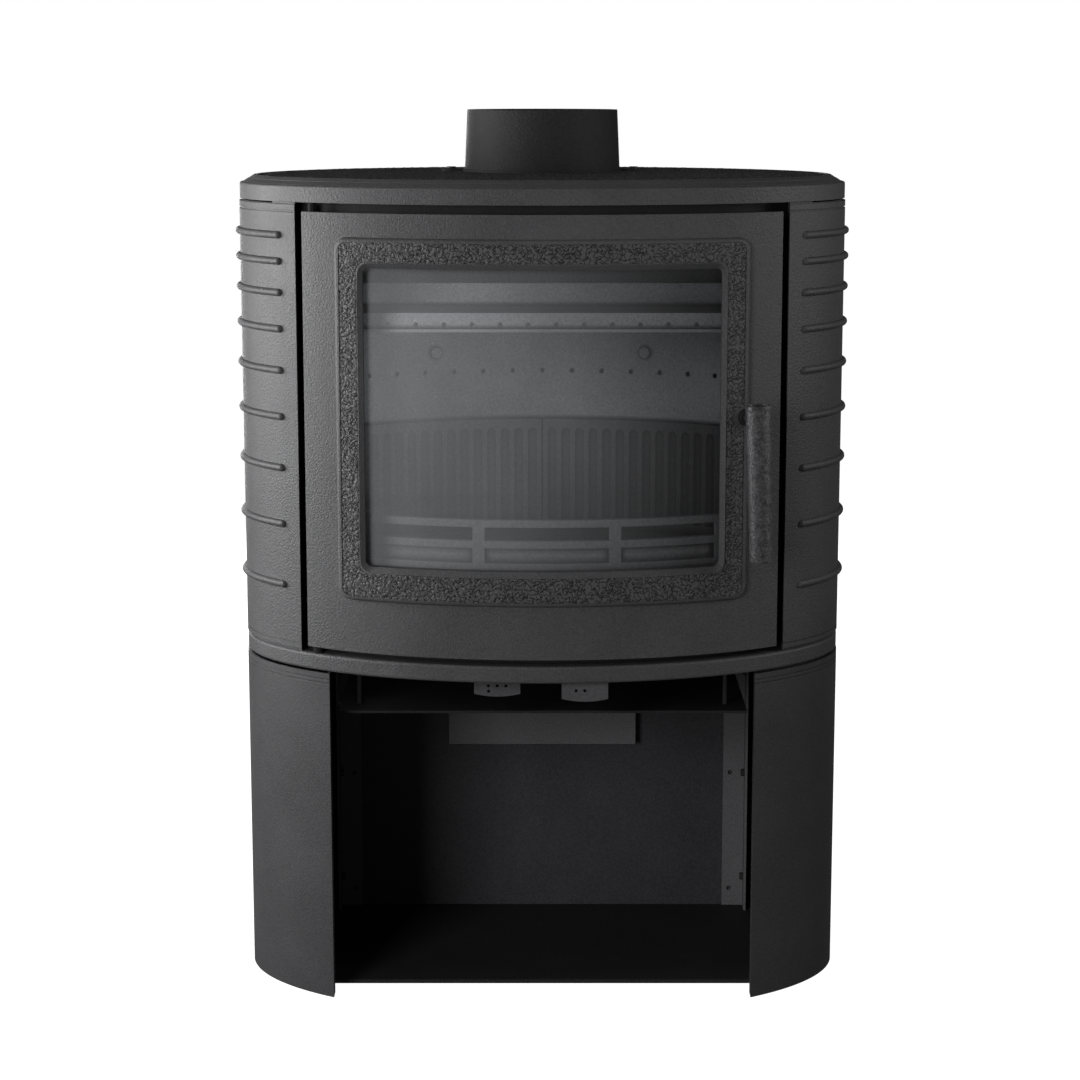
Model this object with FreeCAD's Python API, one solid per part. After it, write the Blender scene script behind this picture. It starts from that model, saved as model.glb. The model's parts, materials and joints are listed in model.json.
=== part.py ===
import FreeCAD, Part
import math
import os

# Wood burning stove: a cast iron firebox with an oval plan, standing on an open log store.
# Millimetres. The origin is on the floor, at the middle of the widest line of the oval.
# +Z is up, the door faces -Y, and +X is the viewer's right.

V = FreeCAD.Vector
UP = V(0, 0, 1)

# ---- driving dimensions: the oval plan ----
HALF_WIDTH = 300.0
FRONT_DEPTH = 184.0
BACK_DEPTH = 232.0

# ---- driving dimensions: heights above the floor ----
STORE_FLOOR_THICK = 4.0
STORE_TOP = 329.5
BASE_LOW = 331.5
BASE_TOP = 348.0
DOOR_LOW = 354.7
DOOR_TOP = 775.7
RIM_LOW = 784.3
RIM_HIGH = 800.3
STEP_TOP = 803.6
LIP_TOP = 807.0
FIELD_TOP = 806.5
COLLAR_TOP = 869.0

# ---- driving dimensions: front of the stove ----
DOOR_HALF = 228.5
CASTING_EDGE = 235.3
PLATE_INSET = 0.6
STEP_INSET = 4.4
LIP_INSET = 10.2
STEP_SLOPE_RISE = 2.9
STEP_SLOPE_RUN = 4.6
RIM_ROUND = 2.2
GROOVE_INSET = 19.0
GROOVE_DEPTH = 3.0
FIELD_INSET = 24.0
UNDERSIDE_INSET = 14.0
TIE_ROD_HOLE = 4.2
TAPPED_HOLE = 2.6
PIN_BOSS_RADIUS = 8.0
PIN_BOSS_INSET = 2.0
PIN_DEPTH = 11.0
SKIN = 8.0
FRAME_FRONT = 20.0
FRAME_BACK = 30.0

# ---- raised frame round the glass ----
BAND_RISE = 5.0
BAND_RECESS = 0.8
BAND_BEVEL = 5.2
BAND_HALF = 196.0
BAND_LOW = 406.5
BAND_HIGH = 753.0
SIGHT_HALF = 169.0
SIGHT_LOW = 440.0
SIGHT_HIGH = 724.5

# ---- glass and seals ----
GLASS_HALF = 180.0
GLASS_LOW = 425.0
GLASS_HIGH = 739.0
GLASS_FACE = 10.5
GLASS_BACK = 14.5
ROPE_OUTER = 213.0
ROPE_LOW = 359.0
ROPE_HIGH = 769.5
ROPE_WIDTH = 10.0
ROPE_REACH = 19.6
ROPE_CORNER = 20.0
CHANNEL_WALL = 2.5
OPENING_HALF = 192.0
OPENING_LOW = 374.0
OPENING_HIGH = 752.0

# ---- hinge and latch ----
PIN_RADIUS = 3.5
RUNNING_GAP = 0.05
PIN_FROM_SURFACE = 6.0
PIN_X_ON_SURFACE = -222.0
HEEL_RADIUS = 12.8
SPINDLE_X = 191.0
SPINDLE_Z = 583.0
SPINDLE_RADIUS = 5.0
BUSH_RADIUS = 8.0
BUSH_SEAT = 0.6
HANDLE_LOW = 447.0
HANDLE_HIGH = 597.0
HANDLE_TOP_RADIUS = 12.4
HANDLE_FOOT_RADIUS = 10.8
HANDLE_STAND_OFF = 16.0
HANDLE_SCREW_DEPTH = 6.0
HANDLE_DISH = 2.5
HANDLE_LEAN = 2.0
CAM_FACE = 15.8
CAM_BACK = 19.4
CAM_REACH = 26.0

# ---- side castings ----
WALL = 6.0
SIDE_BACK_EDGE = 200.0
RIB_TOP_Z = 752.6
RIB_FIRST_STEP = 25.0
RIB_STEP_GROWTH = 5.0
RIB_COUNT = 9
RIB_RADIUS = 3.5
RIB_OUT = 0.7
RIB_FRONT_X = 253.0
RIB_BACK_X = 214.0
RIM_GAP = 1.5
RIM_GAP_X = 259.0

# ---- firebox ----
BOX_HALF = 214.0
BOX_SHEET = 4.0
ARC_CENTRE_Y = -188.0
LINER_ARC = 320.0
LINER_THICK = 14.0
SHELL_ARC = 336.0
HEARTH_LOW = 418.0
HEARTH_TOP = 428.0
LINER_TOP = 545.3
AIR_PLATE_TOP = 655.0
AIR_HOLE_Z = 596.3
AIR_HOLE_PITCH = 31.0
AIR_HOLE_RADIUS = 2.6
AIR_PLATE_HALF = 204.0
AIR_PLATE_NEAR = 6.0
AIR_PLATE_FAR = 9.0
AIR_PLATE_FOOT = 3.0
AIR_BOLT_XS = (-112.0, 108.0)
AIR_BOLT_Z = 617.0
BAFFLE_TOP = 677.9
BAFFLE_SHEET = 4.0
BAFFLE_HALF = 196.0
BAFFLE_FRONT = -100.0
BAFFLE_DROP = 18.3
BAFFLE_HOLE_PITCH = 27.0
BAFFLE_HOLES_EACH_SIDE = 6
BAFFLE_HOLE_RADIUS = 2.3
BAFFLE_HOLE_UP = 7.0
LIP_SHEET = 3.0
LIP_FOLD = 4.0
UPSTAND_TOP = 700.3
UPSTAND_Y = -18.0
GUARD_FACE = 52.0
GUARD_HALF = 180.0
GUARD_POSTS = (-174.0, -61.5, 70.5, 174.0)
GUARD_TOP = 481.0
GUARD_MIDDLE = 460.5
GUARD_FOOT = 438.5
GUARD_RAIL = 7.5
GUARD_THICK = 8.0
GUARD_POST_HALF = 6.0
PLATE_UNDERSIDE = 797.0

# ---- flue ----
FLUE_Y = 75.0
FLUE_BORE = 72.0
COLLAR_BASE_RADIUS = 78.9
COLLAR_TOP_RADIUS = 76.2
COLLAR_FOOT = 3.0
COLLAR_FOOT_RADIUS = 81.4
CLAMP_THICK = 3.5
CLAMP_SCREW_HEAD = 1.8
LUG_X = 92.7

# ---- air controls ----
TAB_WIDTH = 44.6
TAB_THICK = 2.5
TAB_LOW = 311.0
TAB_TOP = 330.0
TAB_CURVE = 90.0
TAB_HOLE_Z = 321.7
TAB_HOLE_PITCH = 8.4
PRIMARY_X = -43.6
PRIMARY_FRONT = -149.0
SECONDARY_X = 40.9
SECONDARY_FRONT = -170.0
STRIP_WIDTH = 30.0
STRIP_TOP = 327.0
STRIP_BACK = -50.0
GUIDE_FRONT = -130.0
GUIDE_BACK = -62.0

# ---- log store ----
STORE_SHEET = 3.0
STORE_EDGE = 207.0
STORE_BACK_Y = 151.0
STORE_FRONT_Y = -92.0
STORE_BACK_HALF = 219.0
BRACKET_EDGE = 222.3
BRACKET_HOLE_X = 205.0
SHIELD_TOP = 283.0
SHIELD_SHEET = 2.5
SHIELD_HALF = 203.0
HANGER_X = 183.0
HANGER_YS = (-62.0, 110.0)
ROD_PLACES = ((-246.0, 10.0), (246.0, 10.0), (-150.0, 176.0), (150.0, 176.0))


# ---- shared building blocks ----

def oval_outline(inset, z):
    """Wire of the stove's oval plan, moved in by inset."""
    half = HALF_WIDTH - inset
    front = Part.Ellipse(V(0, 0, z), half, FRONT_DEPTH - inset)
    back = Part.Ellipse(V(0, 0, z), half, BACK_DEPTH - inset)
    front_edge = Part.ArcOfEllipse(front, math.pi, 2 * math.pi).toShape()
    back_edge = Part.ArcOfEllipse(back, 0, math.pi).toShape()
    return Part.Wire([front_edge, back_edge])


def oval(inset, low, high):
    """Upright solid with the stove's oval plan, moved in by inset."""
    face = Part.Face(oval_outline(inset, low))
    return face.extrude(V(0, 0, high - low))


def oval_wall(outer_inset, inner_inset, low, high):
    """Ring between two ovals."""
    return oval(outer_inset, low, high).cut(oval(inner_inset, low, high))


def block(x_low, x_high, y_low, y_high, z_low, z_high):
    corner = V(x_low, y_low, z_low)
    return Part.makeBox(x_high - x_low, y_high - y_low, z_high - z_low, corner)


def window(half, low, high, radius, y_low=-260.0, y_high=-40.0):
    """Rounded rectangle seen from the front, running along Y."""
    box = block(-half, half, y_low, y_high, low, high)
    corners = [edge for edge in box.Edges if abs(edge.tangentAt(0).y) > 0.9]
    return box.makeFillet(radius, corners)


def window_ring(half, low, high, radius, width):
    """Rounded rectangular ring seen from the front, width wide."""
    hole = window(half - width, low + width, high - width, max(radius - width, 1.0))
    return window(half, low, high, radius).cut(hole)


def mirrored(shape):
    return shape.mirror(V(0, 0, 0), V(1, 0, 0))


def fuse(shapes):
    first = shapes[0]
    if len(shapes) == 1:
        return first
    return first.multiFuse(shapes[1:]).removeSplitter()


def front_y(x, inset=0.0):
    """Y of the front of the oval at x."""
    ratio = x / (HALF_WIDTH - inset)
    return -(FRONT_DEPTH - inset) * math.sqrt(1.0 - ratio * ratio)


def front_turn(x):
    """Angle in degrees from -Y to the door's outward normal at x."""
    y = front_y(x)
    return math.degrees(math.atan2(x / HALF_WIDTH ** 2, -y / FRONT_DEPTH ** 2))


def stand_on_front(shape, x):
    """Carry a shape from the origin, where -Y is outward, to the door's surface at x."""
    turned = shape.copy()
    turned.rotate(V(0, 0, 0), UP, front_turn(x))
    turned.translate(V(x, front_y(x), 0))
    return turned


def stud(radius, y_from, y_to, z=0.0, x=0.0):
    """Cylinder along Y."""
    low = min(y_from, y_to)
    return Part.makeCylinder(radius, abs(y_to - y_from), V(x, low, z), V(0, 1, 0))


def post(radius, x, y, low, high):
    return Part.makeCylinder(radius, high - low, V(x, y, low), UP)


def hexagon(across, x, y, low, high):
    """Upright hexagonal prism."""
    radius = across / math.sqrt(3.0)
    points = []
    for side in range(7):
        angle = math.radians(60.0 * side)
        points.append(V(x + radius * math.cos(angle), y + radius * math.sin(angle), low))
    return Part.Face(Part.makePolygon(points)).extrude(V(0, 0, high - low))


def edges_at(shape, test):
    return [edge for edge in shape.Edges if test(edge)]


def level_edges(shape, z):
    """Edges that lie wholly at height z."""
    def lies_at(edge):
        return abs(edge.BoundBox.ZMin - z) < 0.01 and abs(edge.BoundBox.ZMax - z) < 0.01
    return edges_at(shape, lies_at)


# ---- log store ----

def log_store_panel():
    """Curved side of the log store, seen on the right."""
    wall = oval_wall(0.0, STORE_SHEET, 0.0, STORE_TOP)
    front_part = block(STORE_EDGE, 310, -200, 0, 0, STORE_TOP)
    back_part = block(SIDE_BACK_EDGE, 310, 0, 240, 0, STORE_TOP)
    panel = wall.common(front_part.fuse(back_part))
    fold = oval_wall(0.0, 14.0, 0.0, STORE_TOP)
    panel = panel.fuse(fold.common(block(STORE_EDGE, STORE_EDGE + 2.5, -200, 0, 0, STORE_TOP)))
    for groove_z in (STORE_TOP - 6.5, STORE_TOP - 10.5):
        panel = panel.cut(oval_wall(-1.0, 1.0, groove_z, groove_z + 1.5))
    return panel.removeSplitter()


def log_store_floor():
    inside = oval(STORE_SHEET + 0.2, 0.0, STORE_FLOOR_THICK)
    reach = block(-300, 300, STORE_FRONT_Y, STORE_BACK_Y, 0.0, STORE_FLOOR_THICK)
    return inside.common(reach)


def log_store_back_panel():
    half = STORE_BACK_HALF
    return block(-half, half, STORE_BACK_Y, STORE_BACK_Y + 2.5, STORE_FLOOR_THICK, STORE_TOP)


def log_store_bracket():
    """Upright angle that ties the back panel to the right side panel."""
    low = STORE_FLOOR_THICK
    edge = BRACKET_EDGE
    back_leg = block(edge - 25.0, edge, STORE_BACK_Y - 2.5, STORE_BACK_Y, low, STORE_TOP)
    side_leg = block(edge - 2.5, edge, STORE_BACK_Y - 22.0, STORE_BACK_Y, low, STORE_TOP)
    bracket = back_leg.fuse(side_leg).removeSplitter()
    for hole_z in (23.4, 154.6, 290.0):
        hole = stud(2.5, STORE_BACK_Y - 5, STORE_BACK_Y + 5, hole_z, BRACKET_HOLE_X)
        bracket = bracket.cut(hole)
    return bracket


def log_store_bolts():
    """Bolts through the side legs of the two brackets."""
    bolts = []
    for side in (-1, 1):
        for bolt_z in (40.0, 157.0, 270.0):
            start = V(side * (BRACKET_EDGE - 2.5), STORE_BACK_Y - 12.0, bolt_z)
            bolts.append(Part.makeCylinder(4.0, 4.0, start, V(-side, 0, 0)))
    return bolts


def rear_cover_box():
    """Shallow cover over the rear air inlet, on the front of the back panel."""
    outer = block(-101, 101, STORE_BACK_Y - 13.0, STORE_BACK_Y, 189.0, STORE_TOP)
    hollow = block(-99, 99, STORE_BACK_Y - 11.0, STORE_BACK_Y, 191.0, STORE_TOP - 2.0)
    return outer.cut(hollow)


def heat_shield():
    """Sheet that keeps the heat off the logs, turned down along its front edge."""
    low = SHIELD_TOP - SHIELD_SHEET
    sheet = block(-SHIELD_HALF, SHIELD_HALF, STORE_FRONT_Y, 134.0, low, SHIELD_TOP)
    for x in (-HANGER_X, HANGER_X):
        for y in HANGER_YS:
            sheet = sheet.cut(post(2.6, x, y, low - 1, SHIELD_TOP + 1))
    return sheet


def shield_hanger_rods():
    rods = []
    for x in (-HANGER_X, HANGER_X):
        for y in HANGER_YS:
            rod = post(2.5, x, y, SHIELD_TOP - 9.0, BASE_LOW)
            nut = hexagon(9.0, x, y, SHIELD_TOP - SHIELD_SHEET - 4.0, SHIELD_TOP - SHIELD_SHEET)
            rods.append(rod.fuse(nut).removeSplitter())
    return rods


# ---- outer castings ----

def base_plate():
    plate = oval(PLATE_INSET, BASE_LOW, BASE_TOP)
    rims = level_edges(plate, BASE_TOP) + level_edges(plate, BASE_LOW)
    plate = plate.makeFillet(2.5, rims)
    pin_x, pin_y = hinge_place()
    plate = plate.cut(post(PIN_RADIUS, pin_x, pin_y, BASE_LOW + 4.0, BASE_TOP + 1))
    for x, y in ROD_PLACES:
        plate = plate.cut(post(TIE_ROD_HOLE, x, y, BASE_LOW - 1, BASE_TOP + 1))
    return plate


def rib(z):
    """One half-round rib that runs round the right side casting, with rounded ends."""
    half = HALF_WIDTH + RIB_OUT
    front = Part.Ellipse(V(0, 0, z), half, FRONT_DEPTH + RIB_OUT)
    back = Part.Ellipse(V(0, 0, z), half, BACK_DEPTH + RIB_OUT)
    front_start = 2 * math.pi - math.acos(RIB_FRONT_X / half)
    back_end = math.acos(RIB_BACK_X / half)
    first = Part.ArcOfEllipse(front, front_start, 2 * math.pi).toShape()
    second = Part.ArcOfEllipse(back, 0.0, back_end).toShape()
    path = Part.Wire([first, second])
    start = front.value(front_start)
    heading = first.tangentAt(first.FirstParameter)
    circle = Part.Wire(Part.makeCircle(RIB_RADIUS, start, heading))
    tube = path.makePipeShell([circle], True, True)
    ends = [Part.makeSphere(RIB_RADIUS, start), Part.makeSphere(RIB_RADIUS, back.value(back_end))]
    return [tube] + ends


def side_casting():
    """Ribbed side casting, seen on the right."""
    wall = oval_wall(0.0, WALL, BASE_TOP, RIM_LOW)
    front_part = block(CASTING_EDGE, 310, -200, 0, BASE_TOP, RIM_LOW)
    back_part = block(SIDE_BACK_EDGE, 310, 0, 240, BASE_TOP, RIM_LOW)
    casting = wall.common(front_part.fuse(back_part))
    flange = oval_wall(0.0, 18.0, BASE_TOP, RIM_LOW)
    flange = flange.common(block(CASTING_EDGE, CASTING_EDGE + 5, -200, 0, BASE_TOP, RIM_LOW))
    casting = casting.fuse(flange)
    pieces = [casting]
    z = RIB_TOP_Z
    for index in range(RIB_COUNT):
        pieces.extend(rib(z))
        z = z - RIB_FIRST_STEP - RIB_STEP_GROWTH * index
    casting = fuse(pieces)
    grooves = (
        (BASE_TOP, BASE_TOP + 2.8, 3.0),
        (BASE_TOP + 7.0, BASE_TOP + 8.5, 1.2),
        (RIM_LOW - 2.2, RIM_LOW, 3.0),
        (RIM_LOW - 9.6, RIM_LOW - 7.8, 1.4),
    )
    for low, high, depth in grooves:
        casting = casting.cut(oval_wall(-1.0, depth, low, high))
    gap = oval_wall(-1.0, WALL + 1.0, RIM_LOW - RIM_GAP, RIM_LOW)
    return casting.cut(gap.common(block(RIM_GAP_X, 310, -200, 100, RIM_LOW - RIM_GAP, RIM_LOW)))


def back_casting():
    wall = oval_wall(0.0, WALL, BASE_TOP, RIM_LOW)
    edge = SIDE_BACK_EDGE - 0.8
    casting = wall.common(block(-edge, edge, 0, 240, BASE_TOP, RIM_LOW))
    panel = window(edge - 35.0, BASE_TOP + 50.0, RIM_LOW - 50.0, 20.0, 0.0, 240.0)
    return casting.cut(oval_wall(-1.0, 1.5, BASE_TOP, RIM_LOW).common(panel))


def front_frame():
    """Cast frame behind the door that the rope seal closes on."""
    wall = oval_wall(FRAME_FRONT, FRAME_BACK, BASE_TOP, RIM_LOW)
    wall = wall.common(block(-237, 237, -200, 0, BASE_TOP, RIM_LOW))
    return wall.cut(window(OPENING_HALF, OPENING_LOW, OPENING_HIGH, 15.0))


def sloping_step(inset, top):
    """Raised oval step whose outer face slopes back."""
    slope_low = top - STEP_SLOPE_RISE
    outlines = [oval_outline(inset, slope_low), oval_outline(inset + STEP_SLOPE_RUN, top)]
    slope = Part.makeLoft(outlines, True, True)
    return slope.fuse(oval(inset, RIM_HIGH - 1.0, slope_low))


def top_plate():
    """Top casting: a rim, two sloping steps inside it, a groove and a level field."""
    rim = oval(PLATE_INSET, RIM_LOW, RIM_HIGH)
    rim = rim.makeFillet(RIM_ROUND, level_edges(rim, RIM_HIGH))
    plate = rim.fuse(sloping_step(STEP_INSET, STEP_TOP)).fuse(sloping_step(LIP_INSET, LIP_TOP))
    groove_low = LIP_TOP - GROOVE_DEPTH
    plate = plate.cut(oval_wall(GROOVE_INSET, FIELD_INSET, groove_low, LIP_TOP + 1.0))
    plate = plate.cut(oval(FIELD_INSET, FIELD_TOP, LIP_TOP + 1.0))
    plate = plate.cut(oval(UNDERSIDE_INSET, RIM_LOW - 1.0, PLATE_UNDERSIDE))
    plate = plate.cut(post(FLUE_BORE, 0, FLUE_Y, RIM_LOW - 1, LIP_TOP + 1))
    pin_x, pin_y = hinge_place()
    boss = post(PIN_BOSS_RADIUS, pin_x, pin_y, RIM_LOW, PLATE_UNDERSIDE)
    boss = boss.common(oval(PIN_BOSS_INSET, RIM_LOW, PLATE_UNDERSIDE))
    plate = plate.fuse(boss)
    plate = plate.cut(post(PIN_RADIUS, pin_x, pin_y, RIM_LOW - 1, RIM_LOW + PIN_DEPTH))
    for x, y in ROD_PLACES:
        plate = plate.cut(post(TIE_ROD_HOLE, x, y, PLATE_UNDERSIDE - 1, PLATE_UNDERSIDE + 5.0))
    for x in (-LUG_X, LUG_X):
        plate = plate.cut(post(TAPPED_HOLE, x, FLUE_Y, PLATE_UNDERSIDE + 1.0, LIP_TOP))
    return plate.removeSplitter()


def flue_collar():
    """Slightly tapered cast collar with a straight bore and a low foot."""
    height = COLLAR_TOP - FIELD_TOP
    foot = V(0, FLUE_Y, FIELD_TOP)
    cone = Part.makeCone(COLLAR_BASE_RADIUS, COLLAR_TOP_RADIUS, height, foot, UP)
    bead = post(COLLAR_FOOT_RADIUS, 0, FLUE_Y, FIELD_TOP, FIELD_TOP + COLLAR_FOOT)
    collar = cone.fuse(bead).removeSplitter()
    return collar.cut(post(FLUE_BORE, 0, FLUE_Y, FIELD_TOP - 1, COLLAR_TOP + 1))


def flue_collar_clamps():
    """Small cast clamps that hold the collar's foot down, one each side."""
    clamps = []
    top = FIELD_TOP + CLAMP_THICK
    for side in (-1, 1):
        near, far = sorted((side * (COLLAR_BASE_RADIUS + 0.3), side * LUG_X))
        ear = post(10.0, side * LUG_X, FLUE_Y, FIELD_TOP, top)
        clamp = ear.fuse(block(near, far, FLUE_Y - 10, FLUE_Y + 10, FIELD_TOP, top))
        clamp = clamp.cut(post(COLLAR_FOOT_RADIUS, 0, FLUE_Y, FIELD_TOP, FIELD_TOP + COLLAR_FOOT))
        clamp = clamp.cut(post(COLLAR_BASE_RADIUS + 0.1, 0, FLUE_Y, FIELD_TOP, top))
        clamps.append(clamp.cut(post(3.0, side * LUG_X, FLUE_Y, FIELD_TOP - 1, top + 1)))
    return clamps


def flue_collar_screws():
    screws = []
    seat = FIELD_TOP + CLAMP_THICK
    for side in (-1, 1):
        shank = post(2.5, side * LUG_X, FLUE_Y, PLATE_UNDERSIDE + 2.0, seat)
        head = post(4.5, side * LUG_X, FLUE_Y, seat, seat + CLAMP_SCREW_HEAD)
        slot = block(side * LUG_X - 5, side * LUG_X + 5, FLUE_Y - 0.7, FLUE_Y + 0.7,
                     seat + CLAMP_SCREW_HEAD - 0.9, seat + CLAMP_SCREW_HEAD + 1.0)
        screws.append(shank.fuse(head).removeSplitter().cut(slot))
    return screws


def tie_rods():
    """Long rods that clamp the top plate down onto the base plate."""
    return [post(4.0, x, y, BASE_LOW - 10.0, PLATE_UNDERSIDE + 4.5) for x, y in ROD_PLACES]


def tie_rod_nuts():
    nuts = []
    for x, y in ROD_PLACES:
        nut = hexagon(13.0, x, y, BASE_LOW - 6.5, BASE_LOW)
        nuts.append(nut.cut(post(4.0, x, y, BASE_LOW - 8.0, BASE_LOW + 1.0)))
    return nuts


# ---- firebox ----

def box_plan(half, arc, low, high):
    """Upright solid with the firebox plan: straight sides and an arc at the back."""
    sides = block(-half, half, -200, 200, low, high)
    rear = Part.makeCylinder(arc, high - low, V(0, ARC_CENTRE_Y, low), UP)
    return sides.common(rear).common(oval(FRAME_BACK, low, high))


def firebox_shell():
    """Welded steel sides and back of the firebox."""
    outer = box_plan(BOX_HALF + BOX_SHEET, SHELL_ARC + BOX_SHEET, BASE_TOP, PLATE_UNDERSIDE)
    inner = box_plan(BOX_HALF, SHELL_ARC, BASE_TOP, PLATE_UNDERSIDE)
    return outer.cut(inner).cut(block(-BOX_HALF, BOX_HALF, -200, 0, BASE_TOP, PLATE_UNDERSIDE))


def firebox_floor():
    """Cast hearth on two legs, with a square hole for the grate."""
    hearth = box_plan(BOX_HALF - 1.0, SHELL_ARC - 1.0, HEARTH_LOW, HEARTH_TOP)
    hearth = hearth.cut(block(-112, 112, -62, 82, HEARTH_LOW, HEARTH_TOP - 5.0))
    hearth = hearth.cut(block(-118, 118, -68, 88, HEARTH_TOP - 5.0, HEARTH_TOP))
    pieces = [hearth]
    for side in (-1, 1):
        near, far = sorted((side * 148.0, side * 154.0))
        pieces.append(block(near, far, -85, 95, BASE_TOP, HEARTH_LOW))
    return fuse(pieces)


def grate():
    """Slotted cast grate that drops into the hearth."""
    plate = block(-117, 117, -67, 87, HEARTH_TOP - 5.0, HEARTH_TOP)
    for index in range(9):
        x = -96.0 + 24.0 * index
        for y_low, y_high in ((-58, 4), (16, 78)):
            plate = plate.cut(block(x - 4, x + 4, y_low, y_high, HEARTH_TOP - 6.0, HEARTH_TOP + 1))
    return plate


def ash_pan():
    """Pressed steel ash pan with a rolled pull at the front."""
    outer = block(-138, 138, -92, 90, 376.0, 412.0)
    pan = outer.cut(block(-136.5, 136.5, -90.5, 88.5, 377.5, 413.0))
    pull = block(-35, 35, -104, -92, 402.0, 404.0)
    pull = pull.fuse(block(-35, 35, -106, -104, 394.0, 404.0))
    return pan.fuse(pull).removeSplitter()


def ash_pan_rails():
    rails = []
    for side in (-1, 1):
        near, far = sorted((side * 100.0, side * 138.0))
        rails.append(block(near, far, -85, 90, BASE_TOP, 376.0))
    return rails


def liner_rear():
    """Right half of the fluted cast fireback."""
    outer = Part.makeCylinder(LINER_ARC + LINER_THICK, LINER_TOP - HEARTH_TOP,
                              V(0, ARC_CENTRE_Y, HEARTH_TOP), UP)
    inner = Part.makeCylinder(LINER_ARC, LINER_TOP - HEARTH_TOP,
                              V(0, ARC_CENTRE_Y, HEARTH_TOP), UP)
    liner = outer.cut(inner).common(block(0.8, 196, 0, 200, HEARTH_TOP, LINER_TOP))
    flute_step = math.degrees(14.5 / LINER_ARC)
    flute_top = LINER_TOP - 14.0
    cutters = []
    for index in range(13):
        angle = math.radians(90.0 - flute_step * (index + 0.72))
        x = (LINER_ARC - 2.4) * math.cos(angle)
        y = ARC_CENTRE_Y + (LINER_ARC - 2.4) * math.sin(angle)
        cutters.append(post(5.2, x, y, HEARTH_TOP + 10.0, flute_top))
        cutters.append(Part.makeSphere(5.2, V(x, y, flute_top)))
    return liner.cut(cutters)


def liner_side():
    """Plain cast liner on the right wall."""
    liner = block(200, 212, -82, 42, HEARTH_TOP, 560.0)
    return liner.makeFillet(3.0, edges_at(liner, lambda edge: abs(edge.tangentAt(0).y) > 0.9
                                          and edge.CenterOfMass.z > 500))


def rear_air_plate():
    """Curved plate above the fireback with a row of air holes."""
    low = LINER_TOP
    high = AIR_PLATE_TOP
    centre = V(0, ARC_CENTRE_Y, low)
    near = LINER_ARC + AIR_PLATE_NEAR
    reach = block(-AIR_PLATE_HALF, AIR_PLATE_HALF, 0, 200, low, high)
    outer = Part.makeCylinder(LINER_ARC + AIR_PLATE_FAR, high - low, centre, UP)
    inner = Part.makeCylinder(near, high - low, centre, UP)
    plate = outer.cut(inner).common(reach)
    foot = Part.makeCylinder(LINER_ARC + LINER_THICK, AIR_PLATE_FOOT, centre, UP)
    hollow = Part.makeCylinder(near, AIR_PLATE_FOOT, centre, UP)
    plate = plate.fuse(foot.cut(hollow).common(reach))
    step = AIR_HOLE_PITCH / LINER_ARC
    for index in range(-6, 7):
        angle = math.pi / 2 + step * index
        outward = V(math.cos(angle), math.sin(angle), 0)
        start = V(0, ARC_CENTRE_Y, AIR_HOLE_Z) + outward * (LINER_ARC - 5.0)
        plate = plate.cut(Part.makeCylinder(AIR_HOLE_RADIUS, 30.0, start, outward))
    return plate.removeSplitter()


def air_plate_bolts():
    bolts = []
    for x in AIR_BOLT_XS:
        angle = math.acos(x / (LINER_ARC + AIR_PLATE_NEAR))
        outward = V(math.cos(angle), math.sin(angle), 0)
        start = V(0, ARC_CENTRE_Y, AIR_BOLT_Z) + outward * (LINER_ARC + 1.9)
        bolts.append(Part.makeCylinder(5.5, 4.0, start, outward))
    return bolts


def baffle_plate():
    """Plate over the fire: a drilled lip in front, an upstand behind it."""
    low = BAFFLE_TOP - BAFFLE_SHEET
    plate = box_plan(BOX_HALF - 2.0, SHELL_ARC - 2.0, low, BAFFLE_TOP)
    plate = plate.common(block(-300, 300, BAFFLE_FRONT, 200, low, BAFFLE_TOP))
    half = BAFFLE_HALF
    drop = BAFFLE_TOP - BAFFLE_DROP
    lip_back = BAFFLE_FRONT + LIP_SHEET
    pieces = [
        plate,
        block(-half, half, BAFFLE_FRONT, lip_back, drop, BAFFLE_TOP),
        block(-half, half, BAFFLE_FRONT - LIP_FOLD, lip_back, drop, drop + LIP_SHEET),
        block(-half, half, UPSTAND_Y, UPSTAND_Y + LIP_SHEET, low, UPSTAND_TOP),
    ]
    plate = fuse(pieces)
    hole_z = drop + BAFFLE_HOLE_UP
    for index in range(BAFFLE_HOLES_EACH_SIDE):
        x = BAFFLE_HOLE_PITCH * (index + 0.5)
        for across in (-x, x):
            hole = stud(BAFFLE_HOLE_RADIUS, BAFFLE_FRONT - 6, BAFFLE_FRONT + 6, hole_z, across)
            plate = plate.cut(hole)
    return plate


def baffle_supports():
    """Ledges on the side walls that the baffle rests on."""
    ledges = []
    for side in (-1, 1):
        near, far = sorted((side * 206.0, side * BOX_HALF))
        ledges.append(block(near, far, -70, 50, BAFFLE_TOP - 12.0, BAFFLE_TOP - BAFFLE_SHEET))
    return ledges


def log_guard():
    """Cast fence across the front of the hearth: open above, panelled below."""
    def band(face, back, low, high, half):
        part = oval_wall(face, back, low, high)
        return part.common(block(-half, half, -200, 0, low, high))

    back = GUARD_FACE + GUARD_THICK
    middle_low = GUARD_MIDDLE - GUARD_RAIL
    bars = [
        band(GUARD_FACE, back, GUARD_TOP - GUARD_RAIL, GUARD_TOP, GUARD_HALF),
        band(GUARD_FACE, back, middle_low, GUARD_MIDDLE, GUARD_HALF),
        band(GUARD_FACE, back, HEARTH_TOP, GUARD_FOOT, GUARD_HALF),
        band(GUARD_FACE + 4.0, back, GUARD_FOOT - 0.5, middle_low + 1.0, GUARD_HALF),
    ]
    for x in GUARD_POSTS:
        upright = oval_wall(GUARD_FACE, back, HEARTH_TOP, GUARD_TOP)
        near, far = x - GUARD_POST_HALF, x + GUARD_POST_HALF
        bars.append(upright.common(block(near, far, -200, 0, HEARTH_TOP, GUARD_TOP)))
    return fuse(bars)


# ---- door ----

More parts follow.
